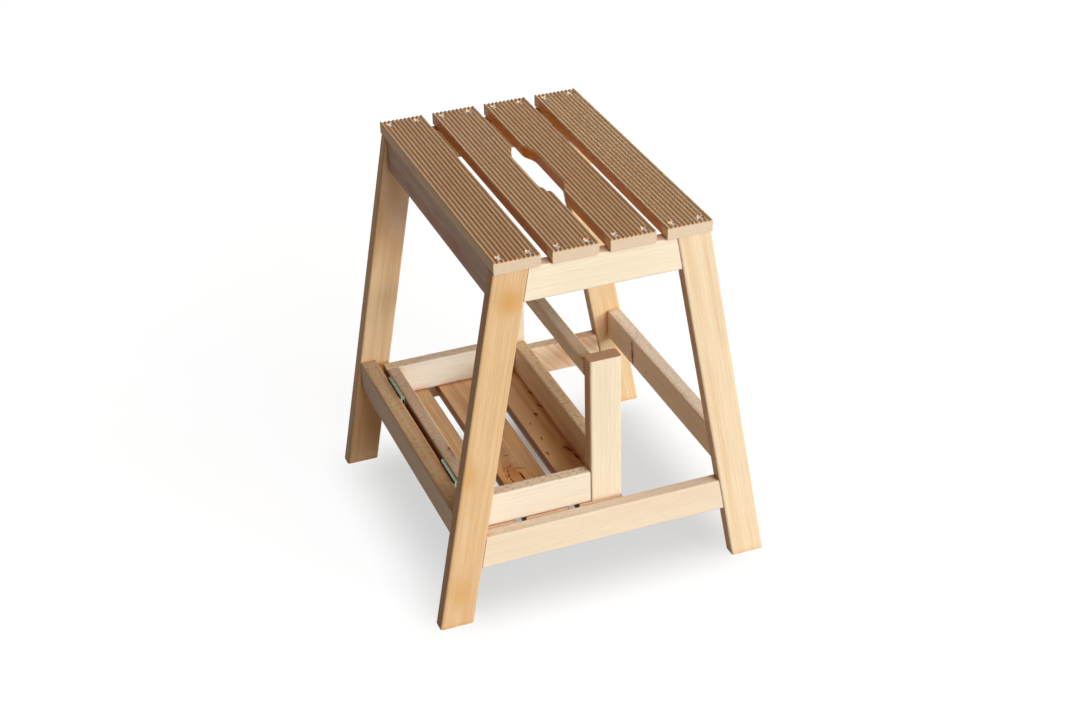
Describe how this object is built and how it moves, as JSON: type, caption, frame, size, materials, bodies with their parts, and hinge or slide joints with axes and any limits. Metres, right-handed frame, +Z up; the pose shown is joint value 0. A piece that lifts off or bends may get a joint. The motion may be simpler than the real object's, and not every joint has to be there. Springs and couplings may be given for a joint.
{
  "type": "folding step stool chair",
  "caption": "Wooden two-step stool with a ribbed slat seat, splayed legs, a hand hold and a hinged lower step that folds in between the side frames",
  "frame": {"origin": "on the floor, in the middle of the four feet of the stool, with the step folded in", "axes": "+Z up, -X the front, the side the step swings out to, +Y the left side as seen from the front"},
  "size_m": [0.402, 0.385, 0.45],
  "materials": {
    "beech_legs": "satin clear",
    "beech_rails": "satin clear",
    "beech_slats": "satin clear",
    "zinc_hinges": "zinc plated",
    "zinc_screws": "zinc plated"
  },
  "bodies": {
    "stool_frame": {"seat_slat_1": "beech_slats", "seat_slat_2": "beech_slats", "seat_slat_3": "beech_slats", "seat_slat_4": "beech_slats", "seat_screw_1_right_1": "zinc_screws", "seat_screw_1_right_2": "zinc_screws", "seat_screw_1_left_1": "zinc_screws", "seat_screw_1_left_2": "zinc_screws", "seat_screw_2_right_1": "zinc_screws", "seat_screw_2_right_2": "zinc_screws", "seat_screw_2_left_1": "zinc_screws", "seat_screw_2_left_2": "zinc_screws", "seat_screw_3_right_1": "zinc_screws", "seat_screw_3_right_2": "zinc_screws", "seat_screw_3_left_1": "zinc_screws", "seat_screw_3_left_2": "zinc_screws", "seat_screw_4_right_1": "zinc_screws", "seat_screw_4_right_2": "zinc_screws", "seat_screw_4_left_1": "zinc_screws", "seat_screw_4_left_2": "zinc_screws", "top_rail_right": "beech_rails", "lower_rail_right": "beech_rails", "leg_front_right": "beech_legs", "leg_rear_right": "beech_legs", "top_rail_left": "beech_rails", "lower_rail_left": "beech_rails", "leg_front_left": "beech_legs", "leg_rear_left": "beech_legs", "apron_front": "beech_rails", "stretcher_front": "beech_rails", "apron_rear": "beech_rails", "stretcher_rear": "beech_rails", "hinge_right_frame_leaf": "zinc_hinges", "hinge_right_pin": "zinc_hinges", "hinge_left_frame_leaf": "zinc_hinges", "hinge_left_pin": "zinc_hinges"},
    "step_unit": {"step_rail_right": "beech_rails", "step_leg_right": "beech_legs", "step_rail_left": "beech_rails", "step_leg_left": "beech_legs", "step_rail_hinge": "beech_rails", "step_rail_rear": "beech_rails", "step_foot_bar": "beech_rails", "tread_slat_1": "beech_slats", "tread_slat_2": "beech_slats", "tread_slat_3": "beech_slats", "tread_screw_1_right_1": "zinc_screws", "tread_screw_1_right_2": "zinc_screws", "tread_screw_1_left_1": "zinc_screws", "tread_screw_1_left_2": "zinc_screws", "tread_screw_2_right_1": "zinc_screws", "tread_screw_2_right_2": "zinc_screws", "tread_screw_2_left_1": "zinc_screws", "tread_screw_2_left_2": "zinc_screws", "tread_screw_3_right_1": "zinc_screws", "tread_screw_3_right_2": "zinc_screws", "tread_screw_3_left_1": "zinc_screws", "tread_screw_3_left_2": "zinc_screws", "hinge_right_step_leaf": "zinc_hinges", "hinge_left_step_leaf": "zinc_hinges"}
  },
  "joints": [
    {"name": "step_swing", "type": "hinge", "parent": "stool_frame", "child": "step_unit", "pos_m": [-0.15175, 0, 0.1438], "axis": [0, -1, 0], "range_deg": [0, 180]}
  ]
}
